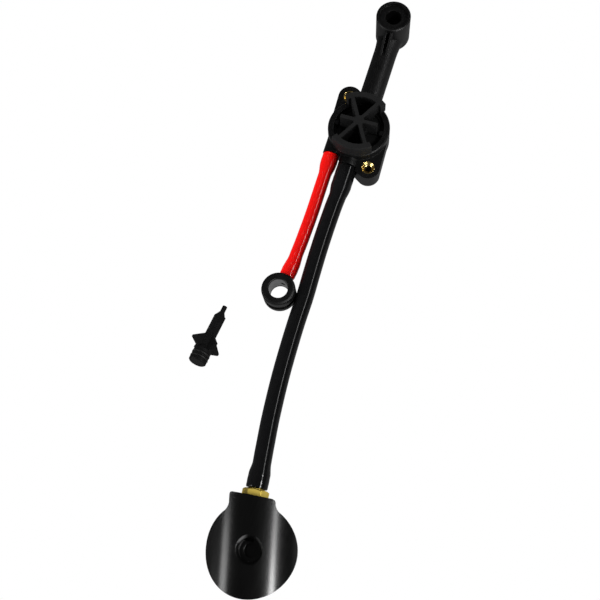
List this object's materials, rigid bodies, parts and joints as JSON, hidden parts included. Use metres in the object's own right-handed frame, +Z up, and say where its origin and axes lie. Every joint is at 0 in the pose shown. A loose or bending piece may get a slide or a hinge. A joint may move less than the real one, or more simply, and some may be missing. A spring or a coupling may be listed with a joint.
{
  "type": "seacock valve",
  "caption": "Moulded turning valve with a winged handle, inlet arm, red and black hoses, drain ring, arched outlet cowl and a loose finned plug.",
  "frame": {"origin": "the valve's turning axis at the flat base of its body", "axes": "+Z up along the turning axis, +Y along the inlet arm, the hoses run toward -Y"},
  "size_m": [0.1081, 0.4172, 0.0302],
  "materials": {
    "black_plastic": "satin moulded",
    "satin_plastic": "satin",
    "white_plastic": "smooth",
    "ivory_plastic": "smooth",
    "seal_rubber": "greased",
    "black_rubber": "glossy",
    "red_rubber": "glossy",
    "brass": "turned",
    "steel": "ground",
    "grey_metal": "turned",
    "fibre": "pressed fibre"
  },
  "bodies": {
    "valve": {"valve_body": "black_plastic", "inlet_arm": "black_plastic", "arm_seal": "seal_rubber", "ear_inserts": "brass", "port_seals": "white_plastic", "thrust_washer": "white_plastic", "bonnet": "black_plastic", "bonnet_seal": "seal_rubber", "spindle_seal": "seal_rubber", "retaining_ring": "black_plastic", "black_hose": "black_rubber", "red_hose": "red_rubber", "drain_ring": "black_plastic", "ring_sleeve": "grey_metal", "brass_fitting": "brass", "fitting_washer": "fibre", "outlet_cowl": "satin_plastic", "plug_body": "black_plastic", "plug_seals": "seal_rubber"},
    "handle": {"turning_handle": "black_plastic", "rotor": "ivory_plastic", "rotor_seals": "seal_rubber", "handle_pin": "steel"}
  },
  "joints": [
    {"name": "handle_turn", "type": "hinge", "parent": "valve", "child": "handle", "pos_m": [0, 0, 0.0157], "axis": [0, 0, 1], "range_deg": [0, 90]}
  ]
}
